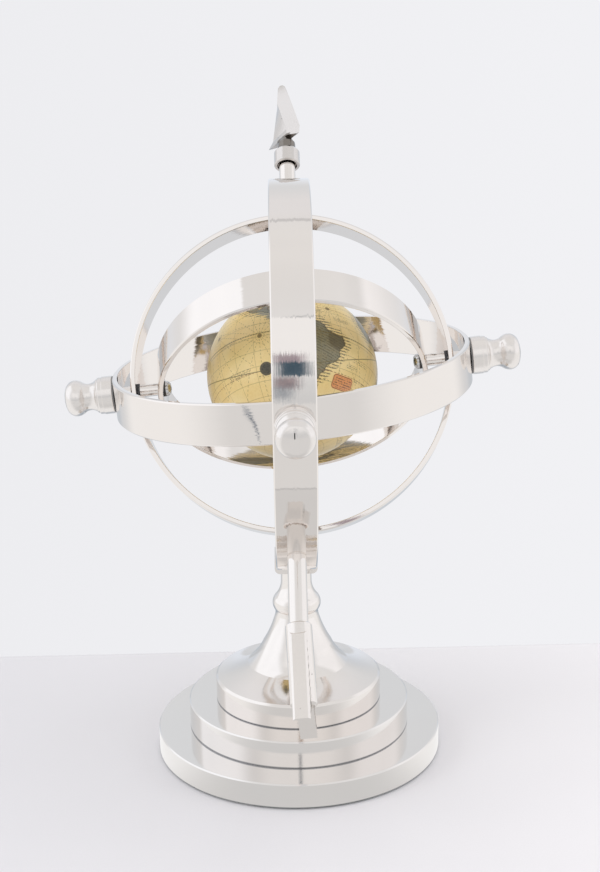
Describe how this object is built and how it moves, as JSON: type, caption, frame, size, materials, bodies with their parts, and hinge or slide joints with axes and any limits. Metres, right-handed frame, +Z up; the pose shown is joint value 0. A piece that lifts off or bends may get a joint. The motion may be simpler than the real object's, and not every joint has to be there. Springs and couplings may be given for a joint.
{
  "type": "armillary sphere",
  "caption": "Desk armillary sphere: a globe on an arrow axis inside nested, tilting polished metal rings, carried by a saddle on a stepped round pedestal.",
  "frame": {"origin": "centre of the underside of the felt pad, on the table", "axes": "+Z up through the pedestal and the common centre of the rings; -Y to the front, where the arrow's tail points; +X to the right; the fixed meridian ring lies in the YZ plane"},
  "size_m": [0.2892, 0.3236, 0.4265],
  "materials": {
    "polished_strip": "mirror-polished nickel-plated strip with fine cross-brushing",
    "polished_nickel": "polished nickel plate on turned metal",
    "turned_nickel": "satin turned, lightly pitted",
    "cast_nickel": "polished casting with soft facets",
    "screw_steel": "bright zinc-plated screws",
    "plain_steel": "plain machined steel, hidden",
    "black_washer": "black fibre",
    "bush_plastic": "dark acetal",
    "globe_map": "varnished parchment map print",
    "felt": "dark green felt"
  },
  "bodies": {
    "stand": {"felt_pad": "felt", "base_disc": "polished_nickel", "middle_disc": "polished_nickel", "bell_pedestal": "polished_nickel", "tie_rod": "plain_steel", "base_washer": "plain_steel", "base_nut": "plain_steel", "saddle": "polished_nickel", "saddle_screw": "screw_steel", "meridian_ring": "polished_strip", "arrow_shaft": "polished_nickel", "arrow_head": "cast_nickel", "arrow_tail": "cast_nickel", "front_knob": "turned_nickel", "back_knob": "turned_nickel", "front_knob_washer": "black_washer", "back_knob_washer": "black_washer", "front_pivot_screw": "screw_steel", "back_pivot_screw": "screw_steel", "front_spacer": "polished_nickel", "back_spacer": "polished_nickel", "front_screw_washer": "black_washer", "back_screw_washer": "black_washer", "upper_shaft_collar": "polished_nickel", "lower_shaft_collar": "polished_nickel", "collar_set_screws": "screw_steel"},
    "equator": {"equator_band": "polished_strip", "left_knob": "turned_nickel", "left_knob_washer": "black_washer", "left_pivot_screw": "screw_steel", "left_outer_spacer": "polished_nickel", "left_spacer_washer": "black_washer", "left_inner_spacer": "polished_nickel", "left_screw_washer": "black_washer", "right_knob": "turned_nickel", "right_knob_washer": "black_washer", "right_pivot_screw": "screw_steel", "right_outer_spacer": "polished_nickel", "right_spacer_washer": "black_washer", "right_inner_spacer": "polished_nickel", "right_screw_washer": "black_washer"},
    "colure": {"colure_ring": "polished_strip"},
    "ecliptic": {"ecliptic_ring": "polished_strip"},
    "globe": {"globe_ball": "globe_map", "upper_globe_bush": "bush_plastic", "lower_globe_bush": "bush_plastic"}
  },
  "joints": [
    {"name": "equator_tilt", "type": "hinge", "parent": "stand", "child": "equator", "pos_m": [0, 0, 0.255], "axis": [0, -1, 0], "range_deg": [-70, 60]},
    {"name": "colure_swing", "type": "hinge", "parent": "equator", "child": "colure", "pos_m": [0, 0, 0.255], "axis": [-0.9959, 0, -0.0899], "range_deg": [-115, 5]},
    {"name": "ecliptic_swing", "type": "hinge", "parent": "equator", "child": "ecliptic", "pos_m": [0, 0, 0.255], "axis": [-0.9959, 0, -0.0899], "range_deg": [-55, 60]},
    {"name": "globe_spin", "type": "hinge", "parent": "stand", "child": "globe", "pos_m": [0, 0, 0.255], "axis": [0, 0.6639, 0.7478], "continuous": true}
  ]
}
